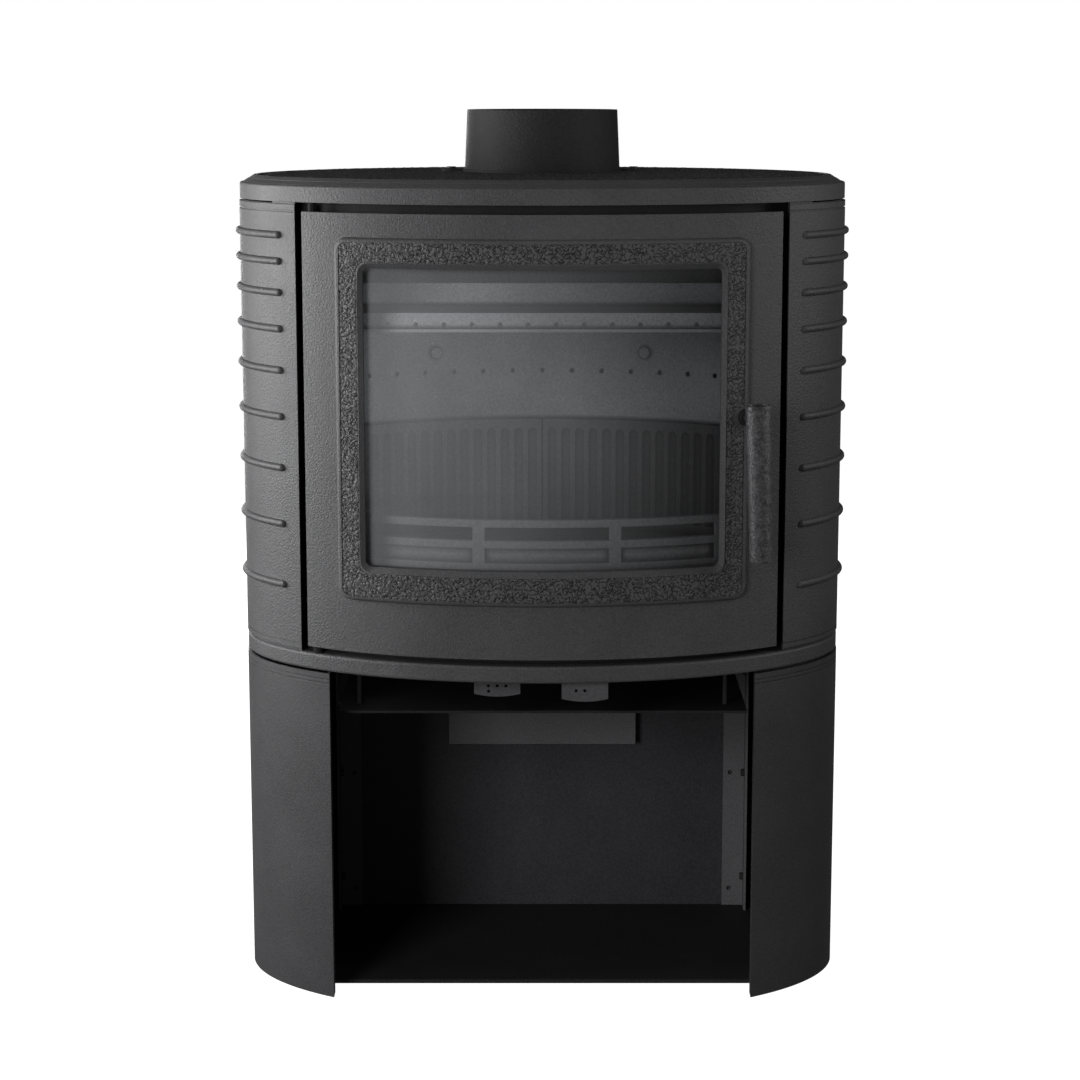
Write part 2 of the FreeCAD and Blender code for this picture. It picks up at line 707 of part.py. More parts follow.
def hinge_place():
    """X and Y of the hinge line, a set depth behind the door's outer surface."""
    turn = math.radians(front_turn(PIN_X_ON_SURFACE))
    x = PIN_X_ON_SURFACE - PIN_FROM_SURFACE * math.sin(turn)
    y = front_y(PIN_X_ON_SURFACE) + PIN_FROM_SURFACE * math.cos(turn)
    return x, y


def rope_channel():
    """Low walls on the back of the door on both sides of the rope."""
    wall = CHANNEL_WALL
    half = ROPE_OUTER + wall
    ring = window_ring(half, ROPE_LOW - wall, ROPE_HIGH + wall, ROPE_CORNER + wall,
                       ROPE_WIDTH + 2 * wall)
    return ring.common(oval_wall(SKIN - 1.0, SKIN + 5.0, DOOR_LOW, DOOR_TOP))


def door_rope_seal():
    ring = window_ring(ROPE_OUTER, ROPE_LOW, ROPE_HIGH, ROPE_CORNER, ROPE_WIDTH)
    return ring.common(oval_wall(SKIN, ROPE_REACH, DOOR_LOW, DOOR_TOP))


def door():
    """Curved cast door with a raised frame round the glass."""
    skin = oval_wall(0.0, SKIN, DOOR_LOW, DOOR_TOP)
    skin = skin.common(block(-DOOR_HALF, DOOR_HALF, -200, 0, DOOR_LOW, DOOR_TOP))
    band = oval_wall(-BAND_RISE, 1.0, BAND_LOW, BAND_HIGH)
    band = band.common(window(BAND_HALF, BAND_LOW, BAND_HIGH, 12.0))
    outer_rim = raised_rim_edges(band)
    band = band.makeFillet(4.2, outer_rim)
    band = band.cut(window(SIGHT_HALF, SIGHT_LOW, SIGHT_HIGH, 6.0))
    band = band.makeChamfer(BAND_BEVEL, raised_rim_edges(band, SIGHT_HALF + 1.0))
    band = band.cut(band_recess())
    pin_x, pin_y = hinge_place()
    knuckles = []
    for low, high in ((DOOR_LOW, DOOR_LOW + 34.0), (DOOR_TOP - 34.0, DOOR_TOP)):
        knuckles.append(post(6.5, pin_x, pin_y, low, high).common(oval(0.0, low, high)))
    shape = skin.cut(window(SIGHT_HALF, SIGHT_LOW, SIGHT_HIGH, 6.0))
    shape = fuse([shape, band, rope_channel()] + knuckles)
    shape = shape.cut(window_ring(ROPE_OUTER, ROPE_LOW, ROPE_HIGH, ROPE_CORNER, ROPE_WIDTH)
                      .common(oval_wall(SKIN, ROPE_REACH, DOOR_LOW, DOOR_TOP)))
    heel = block(-DOOR_HALF - 1, pin_x, pin_y, 0, DOOR_LOW, DOOR_TOP)
    shape = shape.cut(heel.cut(post(HEEL_RADIUS, pin_x, pin_y, DOOR_LOW, DOOR_TOP)))
    hole = PIN_RADIUS + RUNNING_GAP
    shape = shape.cut(post(hole, pin_x, pin_y, DOOR_LOW - 1, DOOR_LOW + 26.0))
    shape = shape.cut(post(hole, pin_x, pin_y, DOOR_TOP - 26.0, DOOR_TOP + 1))
    shape = shape.cut(stand_on_front(stud(BUSH_RADIUS, BUSH_SEAT, -20.0, SPINDLE_Z), SPINDLE_X))
    return shape.cut(stand_on_front(stud(SPINDLE_RADIUS + 0.8, -10.0, 30.0, SPINDLE_Z), SPINDLE_X))


def band_recess():
    """Shallow recess round the raised frame, between its two smooth edges."""
    edge = 4.0
    outer = window(BAND_HALF - edge, BAND_LOW + edge, BAND_HIGH - edge, 8.0)
    step = BAND_BEVEL + 0.4
    inner = window(SIGHT_HALF + step, SIGHT_LOW - step, SIGHT_HIGH + step, 8.0)
    depth = oval_wall(-BAND_RISE - 1.0, -BAND_RISE + BAND_RECESS, BAND_LOW, BAND_HIGH)
    return outer.cut(inner).common(depth)


def raised_rim_edges(band, half_limit=1000.0):
    """Edges on the raised face of the frame: all of them, or those inside half_limit."""
    half = HALF_WIDTH + BAND_RISE
    depth = FRONT_DEPTH + BAND_RISE

    def on_face(edge):
        for share in (0.2, 0.5, 0.8):
            span = edge.LastParameter - edge.FirstParameter
            point = edge.valueAt(edge.FirstParameter + share * span)
            if abs((point.x / half) ** 2 + (point.y / depth) ** 2 - 1.0) > 1e-4:
                return False
            inside = abs(point.x) < half_limit and SIGHT_LOW - 1 < point.z < SIGHT_HIGH + 1
            if half_limit < 999.0 and not inside:
                return False
        return True
    return edges_at(band, on_face)


def door_glass():
    pane = window(GLASS_HALF, GLASS_LOW, GLASS_HIGH, 6.0)
    return pane.common(oval_wall(GLASS_FACE, GLASS_BACK, GLASS_LOW, GLASS_HIGH))


def glass_gasket():
    """Flat gasket between the door and the glass."""
    ring = window_ring(GLASS_HALF - 0.5, GLASS_LOW + 0.5, GLASS_HIGH - 0.5, 7.0, 10.0)
    return ring.common(oval_wall(SKIN, GLASS_FACE, GLASS_LOW, GLASS_HIGH))


def clip_places():
    """(x, z, is_side) of each glass clip's screw."""
    sides = [(side * (GLASS_HALF + 3.5), z, True) for side in (-1, 1) for z in (480.0, 690.0)]
    ends = [(x, z, False) for x in (-95.0, 95.0) for z in (GLASS_LOW - 4.0, GLASS_HIGH + 4.0)]
    return sides + ends


def glass_clips():
    """Bent steel tabs that hold the glass against its gasket."""
    clips = []
    for x, z, is_side in clip_places():
        if is_side:
            inner, outer = sorted((x - math.copysign(9.0, x), x + math.copysign(3.5, x)))
            foot_in, foot_out = sorted((x - math.copysign(3.2, x), x + math.copysign(3.5, x)))
            tongue = block(inner, outer, -200, 0, z - 9, z + 9)
            foot = block(foot_in, foot_out, -200, 0, z - 9, z + 9)
        else:
            toward = 1.0 if z < SPINDLE_Z else -1.0
            low, high = sorted((z - toward * 3.8, z + toward * 9.5))
            foot_low, foot_high = sorted((z - toward * 3.8, z + toward * 3.6))
            tongue = block(x - 11, x + 11, -200, 0, low, high)
            foot = block(x - 11, x + 11, -200, 0, foot_low, foot_high)
        tongue = tongue.common(oval_wall(GLASS_BACK, GLASS_BACK + 2.0, z - 20, z + 20))
        foot = foot.common(oval_wall(SKIN, GLASS_BACK + 2.0, z - 20, z + 20))
        clips.append(tongue.fuse(foot).removeSplitter())
    return clips


def glass_clip_screws():
    return [stand_on_front(stud(3.0, GLASS_BACK + 2.2, GLASS_BACK + 4.2, z), x)
            for x, z, is_side in clip_places()]


def hinge_pin(low, high):
    pin_x, pin_y = hinge_place()
    return post(PIN_RADIUS, pin_x, pin_y, low, high)


def hinge_pin_upper():
    return hinge_pin(DOOR_TOP - 25.0, RIM_LOW + PIN_DEPTH)


def hinge_pin_lower():
    """Lower pin with a collar that carries the door's weight."""
    pin_x, pin_y = hinge_place()
    collar = post(4.6, pin_x, pin_y, BASE_TOP, DOOR_LOW - 0.1)
    return hinge_pin(BASE_LOW + 4.0, DOOR_LOW + 25.0).fuse(collar).removeSplitter()


# ---- handle and latch ----

def spindle_bush():
    bush = stud(BUSH_RADIUS, BUSH_SEAT, -9.0, SPINDLE_Z)
    rim = [edge for edge in bush.Edges if edge.BoundBox.YMax < -8.9]
    bush = bush.makeFillet(2.0, rim)
    bore = stud(SPINDLE_RADIUS + RUNNING_GAP, 5.0, -12.0, SPINDLE_Z)
    return stand_on_front(bush.cut(bore), SPINDLE_X)


def handle_spindle():
    tip = -HANDLE_STAND_OFF - HANDLE_SCREW_DEPTH
    return stand_on_front(stud(SPINDLE_RADIUS, CAM_BACK, tip, SPINDLE_Z), SPINDLE_X)


def door_handle():
    """Straight round grip with a dished top, narrower at its foot, leaning a little."""
    centre = -HANDLE_STAND_OFF - HANDLE_TOP_RADIUS
    height = HANDLE_HIGH - HANDLE_LOW
    foot = V(0, centre, HANDLE_LOW)
    grip = Part.makeCone(HANDLE_FOOT_RADIUS, HANDLE_TOP_RADIUS, height, foot, UP)
    ends = level_edges(grip, HANDLE_LOW) + level_edges(grip, HANDLE_HIGH)
    grip = grip.makeFillet(1.0, ends)
    dish_low = HANDLE_HIGH - HANDLE_DISH
    grip = grip.cut(post(HANDLE_TOP_RADIUS - 2.2, 0, centre, dish_low, HANDLE_HIGH + 1))
    grip.rotate(V(0, 0, SPINDLE_Z), V(0, -1, 0), HANDLE_LEAN)
    tip = -HANDLE_STAND_OFF - HANDLE_SCREW_DEPTH
    grip = grip.cut(stud(SPINDLE_RADIUS, 0.0, tip, SPINDLE_Z))
    return stand_on_front(grip, SPINDLE_X)


def latch_cam():
    """Tongue on the inner end of the spindle."""
    hub = stud(8.0, CAM_FACE, CAM_BACK, SPINDLE_Z)
    tongue = block(-4.0, 4.0, CAM_FACE, CAM_BACK, SPINDLE_Z, SPINDLE_Z + CAM_REACH)
    cam = hub.fuse(tongue).cut(stud(SPINDLE_RADIUS, CAM_FACE - 1, CAM_BACK + 1, SPINDLE_Z))
    return stand_on_front(cam.removeSplitter(), SPINDLE_X)


def latch_keeper():
    """Block on the front frame that the latch tongue bears on."""
    low = SPINDLE_Z + CAM_REACH + 0.6
    keeper = oval_wall(SKIN + 7.0, FRAME_FRONT, low, low + 20.0)
    return keeper.common(block(180.0, 199.0, -200, 0, low, low + 20.0))


# ---- air controls ----

def air_slider(x, front, holes):
    """Upright pull plate with a curved lower edge, on a strip that slides under the stove.

    holes are (across, up from the row) places of small round holes."""
    half = TAB_WIDTH / 2
    plate = block(x - half, x + half, front, front + TAB_THICK, TAB_LOW, TAB_TOP)
    edge_curve = stud(TAB_CURVE, front - 1, front + TAB_THICK + 1, TAB_LOW + TAB_CURVE, x)
    plate = plate.common(edge_curve)
    strip_half = STRIP_WIDTH / 2
    strip = block(x - strip_half, x + strip_half, front, STRIP_BACK,
                  STRIP_TOP - TAB_THICK, STRIP_TOP)
    slider = plate.fuse(strip).removeSplitter()
    for across, up in holes:
        hole = stud(1.5, front - 1, front + TAB_THICK + 1, TAB_HOLE_Z + up, x + across)
        slider = slider.cut(hole)
    return slider


def primary_air_slider():
    pitch = TAB_HOLE_PITCH
    holes = ((-pitch, 0.0), (0.0, 0.0), (pitch, 0.0), (-pitch, -5.4))
    return air_slider(PRIMARY_X, PRIMARY_FRONT, holes)


def secondary_air_slider():
    return air_slider(SECONDARY_X, SECONDARY_FRONT, ((-TAB_HOLE_PITCH, 0.0), (0.0, 0.0)))


def slider_guide(x):
    """Folded channel under the base plate that a slider's strip runs in."""
    inner = STRIP_WIDTH / 2 + 0.8
    outer = inner + 2.0
    low = STRIP_TOP - TAB_THICK - 3.0
    guide = block(x - outer, x + outer, GUIDE_FRONT, GUIDE_BACK, low, BASE_LOW)
    hollow = block(x - inner, x + inner, GUIDE_FRONT - 1, GUIDE_BACK + 1,
                   low + 2.0, BASE_LOW - 2.0)
    slot = block(x - inner + 6, x + inner - 6, GUIDE_FRONT - 1, GUIDE_BACK + 1,
                 low - 1, low + 3.0)
    return guide.cut(hollow).cut(slot)


# ---- write every sub-part ----

def as_shape(result):
    if isinstance(result, list):
        return Part.makeCompound(result)
    return result


def subparts():
    panel = log_store_panel()
    bracket = log_store_bracket()
    casting = side_casting()
    rear = liner_rear()
    side = liner_side()
    return {
        "log_store_right_panel": panel,
        "log_store_left_panel": mirrored(panel),
        "log_store_floor": log_store_floor(),
        "log_store_back_panel": log_store_back_panel(),
        "log_store_right_bracket": bracket,
        "log_store_left_bracket": mirrored(bracket),
        "log_store_bolts": log_store_bolts(),
        "rear_cover_box": rear_cover_box(),
        "heat_shield": heat_shield(),
        "shield_hanger_rods": shield_hanger_rods(),
        "base_plate": base_plate(),
        "right_side_casting": casting,
        "left_side_casting": mirrored(casting),
        "back_casting": back_casting(),
        "front_frame": front_frame(),
        "top_plate": top_plate(),
        "flue_collar": flue_collar(),
        "flue_collar_clamps": flue_collar_clamps(),
        "flue_collar_screws": flue_collar_screws(),
        "tie_rods": tie_rods(),
        "tie_rod_nuts": tie_rod_nuts(),
        "firebox_shell": firebox_shell(),
        "firebox_floor": firebox_floor(),
        "grate": grate(),
        "ash_pan": ash_pan(),
        "ash_pan_rails": ash_pan_rails(),
        "liner_rear_right": rear,
        "liner_rear_left": mirrored(rear),
        "liner_side_right": side,
        "liner_side_left": mirrored(side),
        "rear_air_plate": rear_air_plate(),
        "air_plate_bolts": air_plate_bolts(),
        "baffle_plate": baffle_plate(),
        "baffle_supports": baffle_supports(),
        "log_guard": log_guard(),
        "door": door(),
        "door_rope_seal": door_rope_seal(),
        "door_glass": door_glass(),
        "glass_gasket": glass_gasket(),
        "glass_clips": glass_clips(),
        "glass_clip_screws": glass_clip_screws(),
        "hinge_pin_upper": hinge_pin_upper(),
        "hinge_pin_lower": hinge_pin_lower(),
        "spindle_bush": spindle_bush(),
        "handle_spindle": handle_spindle(),
        "door_handle": door_handle(),
        "latch_cam": latch_cam(),
        "latch_keeper": latch_keeper(),
        "primary_air_slider": primary_air_slider(),
        "secondary_air_slider": secondary_air_slider(),
        "primary_slider_guide": slider_guide(PRIMARY_X),
        "secondary_slider_guide": slider_guide(SECONDARY_X),
    }


os.makedirs("parts", exist_ok=True)
for node, result in subparts().items():
    shape = as_shape(result)
    if not shape.isValid() or not shape.Solids:
        print("not a valid solid:", node)
    shape.exportStep("parts/" + node + ".step")
    print(node, len(shape.Solids), round(shape.Volume / 1000.0, 1), "cm3")
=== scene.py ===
import json
import math
import bpy
import bmesh
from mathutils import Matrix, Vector, noise


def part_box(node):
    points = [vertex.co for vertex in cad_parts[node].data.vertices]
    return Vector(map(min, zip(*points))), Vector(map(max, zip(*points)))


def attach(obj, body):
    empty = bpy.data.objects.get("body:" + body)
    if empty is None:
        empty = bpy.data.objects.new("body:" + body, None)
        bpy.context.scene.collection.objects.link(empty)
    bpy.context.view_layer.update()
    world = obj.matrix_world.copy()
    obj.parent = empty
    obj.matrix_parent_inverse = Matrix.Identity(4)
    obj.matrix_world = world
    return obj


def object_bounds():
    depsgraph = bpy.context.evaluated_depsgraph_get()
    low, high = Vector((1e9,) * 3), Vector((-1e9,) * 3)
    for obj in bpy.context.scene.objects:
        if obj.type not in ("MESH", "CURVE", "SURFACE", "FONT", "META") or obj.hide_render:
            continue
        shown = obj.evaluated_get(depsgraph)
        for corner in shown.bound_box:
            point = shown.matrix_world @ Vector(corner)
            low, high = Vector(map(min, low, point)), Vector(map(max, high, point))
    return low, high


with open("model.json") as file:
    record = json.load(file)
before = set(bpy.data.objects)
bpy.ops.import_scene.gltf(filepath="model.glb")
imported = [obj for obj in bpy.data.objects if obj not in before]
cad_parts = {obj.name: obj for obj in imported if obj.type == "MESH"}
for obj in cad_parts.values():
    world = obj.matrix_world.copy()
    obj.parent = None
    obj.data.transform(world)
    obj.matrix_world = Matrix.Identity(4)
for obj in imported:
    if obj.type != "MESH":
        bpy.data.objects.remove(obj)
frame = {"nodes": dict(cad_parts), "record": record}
cad_low, cad_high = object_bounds()

# ---- the stove's oval plan, in metres, read from the frame ----
MM = 0.001
PLATE_INSET = 0.6 * MM
base_low, base_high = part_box("base_plate")
HALF_WIDTH = base_high.x + PLATE_INSET
FRONT_DEPTH = -base_low.y + PLATE_INSET
BACK_DEPTH = base_high.y + PLATE_INSET

# ---- raised frame round the glass ----
BAND_RISE = 5.0 * MM
BAND_RECESS = 0.8 * MM
BAND_HALF = 196.0 * MM
BAND_LOW = 406.5 * MM
BAND_HIGH = 753.0 * MM
BAND_EDGE = 4.0 * MM
BAND_CORNER = 8.0 * MM
SIGHT_HALF = 169.0 * MM
SIGHT_LOW = 440.0 * MM
SIGHT_HIGH = 724.5 * MM
SIGHT_EDGE = 5.6 * MM
BUSH_SETBACK = 7.0 * MM
BUSH_CLEAR = 9.5 * MM
GLASS_REACH = 0.17


def front_y(x, outset):
    """Y of the oval's front at x, on the oval grown by outset."""
    ratio = x / (HALF_WIDTH + outset)
    return -(FRONT_DEPTH + outset) * math.sqrt(max(0.0, 1.0 - ratio * ratio))


# ---- materials ----

class Nodes:
    """A material's node tree, with short calls to add and join nodes."""

    def __init__(self, name):
        self.material = bpy.data.materials.new(name)
        self.material.use_nodes = True
        self.tree = self.material.node_tree
        self.tree.nodes.clear()
        self.output = self.add("ShaderNodeOutputMaterial")
        self.place = self.add("ShaderNodeTexCoord").outputs["Object"]

    def add(self, kind, **settings):
        node = self.tree.nodes.new(kind)
        for key, value in settings.items():
            setattr(node, key, value)
        return node

    def join(self, source, target):
        self.tree.links.new(source, target)

    def noise(self, scale, detail=2.0, roughness=0.5):
        node = self.add("ShaderNodeTexNoise")
        node.inputs["Scale"].default_value = scale
        node.inputs["Detail"].default_value = detail
        node.inputs["Roughness"].default_value = roughness
        self.join(self.place, node.inputs["Vector"])
        return node.outputs["Fac"]

    def cells(self, scale):
        node = self.add("ShaderNodeTexVoronoi", feature="F1")
        node.inputs["Scale"].default_value = scale
        self.join(self.place, node.inputs["Vector"])
        return node.outputs["Distance"]

    def ramp(self, source, stops):
        """Colour ramp; stops are (position, colour or grey)."""
        node = self.add("ShaderNodeValToRGB")
        elements = node.color_ramp.elements
        while len(elements) < len(stops):
            elements.new(0.5)
        for element, (position, colour) in zip(elements, stops):
            element.position = position
            if not isinstance(colour, tuple):
                colour = (colour, colour, colour)
            element.color = (*colour, 1.0)
        self.join(source, node.inputs["Fac"])
        return node.outputs["Color"]

    def across(self, stops):
        """Ramp from the left edge of the glass to its right edge."""
        split = self.add("ShaderNodeSeparateXYZ")
        self.join(self.place, split.inputs["Vector"])
        reach = self.add("ShaderNodeMapRange")
        self.join(split.outputs["X"], reach.inputs["Value"])
        reach.inputs["From Min"].default_value = -GLASS_REACH
        reach.inputs["From Max"].default_value = GLASS_REACH
        return self.ramp(reach.outputs["Result"], list(stops))

    def tinted(self, colour, factor):
        node = self.add("ShaderNodeVectorMath", operation="MULTIPLY")
        self.join(colour, node.inputs[0])
        self.join(factor, node.inputs[1])
        return node.outputs["Vector"]

    def openness(self, distance):
        """1 on open surfaces, lower in corners and grooves narrower than distance."""
        node = self.add("ShaderNodeAmbientOcclusion", samples=6)
        node.inputs["Distance"].default_value = distance
        return node.outputs["AO"]

    def bump(self, source, depth, normal=None):
        node = self.add("ShaderNodeBump")
        node.inputs["Strength"].default_value = 1.0
        node.inputs["Distance"].default_value = depth
        self.join(source, node.inputs["Height"])
        if normal is not None:
            self.join(normal, node.inputs["Normal"])
        return node.outputs["Normal"]

    def soft_edges(self, radius):
        node = self.add("ShaderNodeBevel", samples=4)
        node.inputs["Radius"].default_value = radius
        return node.outputs["Normal"]

    def shader(self, metallic=0.0, specular=0.5):
        node = self.add("ShaderNodeBsdfPrincipled")
        node.inputs["Metallic"].default_value = metallic
        node.inputs["Specular IOR Level"].default_value = specular
        self.join(node.outputs["BSDF"], self.output.inputs["Surface"])
        return node


def grained(name, colour, rough, grain=420.0, depth=0.30 * MM, edge=0.7 * MM, contrast=0.30,
            metallic=0.0, specular=0.5, mottle=9.0, painted_light_across=None, painted_groove_shade=None):
    """Matte paint or bare metal with fine grain, cloudy colour and softened edges.

    contrast is how far the grain lightens and darkens the colour; the left, middle and right
    factors make it that many times paler there, painted light falling from the left; the groove
    distance is how far from a groove it darkens, painted shade in grooves, holes and corners."""
    n = Nodes(name)
    shader = n.shader(metallic, specular)
    cloud = n.noise(mottle, 4.0, 0.6)
    speck = n.noise(grain * 1.1, 3.0, 0.7)
    mixed = n.add("ShaderNodeMix", data_type="FLOAT")
    mixed.inputs["Factor"].default_value = 0.3
    n.join(speck, mixed.inputs["A"])
    n.join(cloud, mixed.inputs["B"])
    dark = tuple(part * (1.0 - contrast) for part in colour)
    light = tuple(part * (1.0 + contrast) for part in colour)
    colour = n.ramp(mixed.outputs["Result"], [(0.36, dark), (0.64, light)])
    # Paler at the left and darker at the right across the glass: painted light from the left.
    if painted_light_across is not None:
        colour = n.tinted(colour, n.across(zip((0.0, 0.5, 1.0), painted_light_across)))
    # Ambient occlusion darkens grooves, holes and corners: painted shade.
    if painted_groove_shade is not None:
        colour = n.tinted(colour, n.ramp(n.openness(painted_groove_shade), [(0.70, 0.22), (0.98, 1.15)]))
    n.join(colour, shader.inputs["Base Color"])
    low, high = rough
    n.join(n.ramp(cloud, [(0.3, low), (0.7, high)]), shader.inputs["Roughness"])
    rounded = n.soft_edges(edge)
    coarse = n.bump(n.noise(grain, 2.0, 0.5), depth, rounded)
    n.join(n.bump(n.noise(grain * 2.4, 2.0, 0.6), depth * 0.35, coarse), shader.inputs["Normal"])
    return n.material


def clear_glass(name):
    """Ceramic glass: clear, with a faint diffuse haze lit by the lamps; the haze is laid on
    thickest at the left and fades out at the right, a painted reflection veil.
    """
    n = Nodes(name)
    clear = n.add("ShaderNodeBsdfTransparent")
    clear.inputs["Color"].default_value = (0.95, 0.955, 0.96, 1.0)
    shine = n.add("ShaderNodeBsdfGlossy")
    shine.inputs["Roughness"].default_value = 0.06
    slant = n.add("ShaderNodeLayerWeight")
    slant.inputs["Blend"].default_value = 0.5
    rise = n.add("ShaderNodeMath", operation="POWER")
    n.join(slant.outputs["Facing"], rise.inputs[0])
    rise.inputs[1].default_value = 4.0
    mirror = n.add("ShaderNodeMath", operation="MULTIPLY_ADD")
    n.join(rise.outputs[0], mirror.inputs[0])
    mirror.inputs[1].default_value = 0.7
    mirror.inputs[2].default_value = 0.045
    surface = n.add("ShaderNodeMixShader")
    n.join(mirror.outputs[0], surface.inputs["Fac"])
    n.join(clear.outputs["BSDF"], surface.inputs[1])
    n.join(shine.outputs["BSDF"], surface.inputs[2])
    haze = n.add("ShaderNodeBsdfDiffuse")
    haze.inputs["Color"].default_value = (0.78, 0.79, 0.81, 1.0)
    # Haze thickest at the left, fading out at the right: painted reflection veil.
    painted_veil_amount = n.across([(0.0, 0.075), (0.5, 0.038), (0.92, 0.004)])
    cloudy = n.ramp(n.noise(6.0, 5.0, 0.6), [(0.3, 0.85), (0.7, 1.15)])
    uneven = n.add("ShaderNodeMath", operation="MULTIPLY")
    n.join(painted_veil_amount, uneven.inputs[0])
    n.join(cloudy, uneven.inputs[1])
    final = n.add("ShaderNodeMixShader")
    n.join(uneven.outputs[0], final.inputs["Fac"])
    n.join(surface.outputs["Shader"], final.inputs[1])
    n.join(haze.outputs["BSDF"], final.inputs[2])
    n.join(final.outputs["Shader"], n.output.inputs["Surface"])
    return n.material


def wrinkled(name):
    """Paint on the wrinkled cast texture, with worm-like creases bumped in and painted darker as
    painted shade.
    """
    n = Nodes(name)
    shader = n.shader(0.0, 0.5)
    folds = n.noise(250.0, 1.5, 0.5)
    crease = n.ramp(folds, [(0.36, 1.0), (0.44, 0.75), (0.50, 0.0), (0.56, 0.75), (0.64, 1.0)])
    # Base colour darkest along the creases: painted shade in the creases.
    n.join(n.ramp(crease, [(0.0, 0.010), (0.8, 0.062)]), shader.inputs["Base Color"])
    shader.inputs["Roughness"].default_value = 0.56
    coarse = n.bump(crease, 0.9 * MM)
    n.join(n.bump(n.noise(900.0, 2.0, 0.6), 0.12 * MM, coarse), shader.inputs["Normal"])
    return n.material


def rope_fibre(name):
    """Black knitted glass fibre."""
    n = Nodes(name)
    shader = n.shader(0.0, 0.2)
    weave = n.cells(420.0)
    n.join(n.ramp(weave, [(0.1, 0.05), (0.6, 0.012)]), shader.inputs["Base Color"])
    shader.inputs["Roughness"].default_value = 0.92
    n.join(n.bump(weave, -0.6 * MM), shader.inputs["Normal"])
    return n.material


MATERIALS = {
    "outer_casting": grained(
        "stove_paint", (0.053, 0.053, 0.055), (0.50, 0.62), grain=520.0, depth=0.62 * MM),
    # Paler at the left as painted light; darker in grooves as painted shade.
    "inner_casting": grained(
        "fire_side_iron", (0.030, 0.030, 0.031), (0.60, 0.80), grain=330.0, depth=0.35 * MM,
        painted_light_across=(5.2, 1.7, 0.7), painted_groove_shade=9.0 * MM),
    "painted_sheet": grained(
        "store_paint", (0.037, 0.037, 0.039), (0.52, 0.62), grain=520.0, depth=0.28 * MM),
    "store_sheet": grained(
        "store_inside_paint", (0.034, 0.034, 0.037), (0.50, 0.64), grain=520.0,
        depth=0.12 * MM),
    # Paler at the left as painted light; darker in grooves as painted shade.
    "firebox_steel": grained(
        "firebox_paint", (0.105, 0.106, 0.110), (0.55, 0.75), grain=420.0, depth=0.45 * MM,
        mottle=14.0, painted_light_across=(2.7, 1.2, 0.8), painted_groove_shade=5.0 * MM),
    "hardware": grained(
        "blackened_steel", (0.055, 0.055, 0.056), (0.38, 0.55), grain=700.0,
        depth=0.06 * MM, edge=0.4 * MM, metallic=0.6),
    "handle_metal": grained(
        "blasted_metal", (0.125, 0.125, 0.130), (0.36, 0.58), grain=450.0,
        depth=0.45 * MM, mottle=160.0, contrast=0.6, metallic=0.7),
    "glass": clear_glass("ceramic_glass"),
    "seal_rope": rope_fibre("seal_fibre"),
    "control_steel": grained(
        "control_paint", (0.062, 0.062, 0.065), (0.45, 0.60), grain=520.0,
        depth=0.10 * MM, edge=0.4 * MM),
}

COLLAR_PAINT = grained(
    "collar_paint", (0.022, 0.022, 0.023), (0.60, 0.72), grain=520.0, depth=0.75 * MM,
    specular=0.22)
# Darkest paint; on the front frame it also serves as painted shade for the gap between rim and
# door.
DARK_PAINT_AND_SHADE = grained(
    "dark_paint_and_painted_shade", (0.018, 0.018, 0.019), (0.55, 0.70), grain=520.0,
    depth=0.12 * MM, specular=0.25)
# Paler paint for the log-store fittings, made paler still as painted light to make up for the
# heat shield's shadow.
PALE_FITTING_AND_LIGHT = grained(
    "pale_fitting_paint_and_painted_light", (0.090, 0.090, 0.094), (0.50, 0.64), grain=520.0,
    depth=0.12 * MM)
RELIEF = wrinkled("wrinkled_paint")
# Paler at the left as painted light; darker in grooves as painted shade.
GUARD_IRON = grained(
    "log_guard_iron", (0.080, 0.080, 0.082), (0.42, 0.58), grain=330.0,
    depth=0.25 * MM, edge=2.2 * MM, painted_light_across=(1.5, 0.95, 0.8), painted_groove_shade=7.0 * MM)
# Blackened steel, painted darker still as painted shade where the pins show in the shaded door
# gap.
BLACKENED_PIN_AND_SHADE = grained(
    "blackened_pin_steel_and_painted_shade", (0.016, 0.016, 0.016), (0.50, 0.65), grain=700.0,
    depth=0.05 * MM, specular=0.04)
OWN_MATERIALS = {
    "log_guard": GUARD_IRON,
    # Front frame painted near black: painted shade in the gap between rim and door.
    "front_frame": DARK_PAINT_AND_SHADE,
    "hinge_pin_upper": BLACKENED_PIN_AND_SHADE,
    "hinge_pin_lower": BLACKENED_PIN_AND_SHADE,
    "spindle_bush": BLACKENED_PIN_AND_SHADE,
    "air_plate_bolts": MATERIALS["firebox_steel"],
    "flue_collar": COLLAR_PAINT,
    "flue_collar_clamps": COLLAR_PAINT,
    "log_store_floor": DARK_PAINT_AND_SHADE,
    "heat_shield": DARK_PAINT_AND_SHADE,
    "rear_cover_box": PALE_FITTING_AND_LIGHT,
    "log_store_right_bracket": PALE_FITTING_AND_LIGHT,
    "log_store_left_bracket": PALE_FITTING_AND_LIGHT,
}

for part in frame["record"]["subparts"]:
    node = frame["nodes"][part["node"]]
    material = OWN_MATERIALS.get(part["node"], MATERIALS[part["material_slot"]])
    node.data.materials.clear()
    node.data.materials.append(material)


# ---- cast relief: a wrinkled texture made as real geometry ----

WRINKLE = 3.4 * MM
WRINKLE_PEAK = 0.28
EDGE_FADE = 1.2 * MM
DOOR_GRID = 0.9 * MM
DOOR_SEAT = 0.03 * MM
DOOR_SHORT = 0.05 * MM
TOP_GRID = 1.7 * MM
TOP_SEAT = 0.04 * MM
TOP_LIFT = 1.1 * MM
TOP_FIELD_INSET = 24.4 * MM
COLLAR_CLEAR = 0.4 * MM


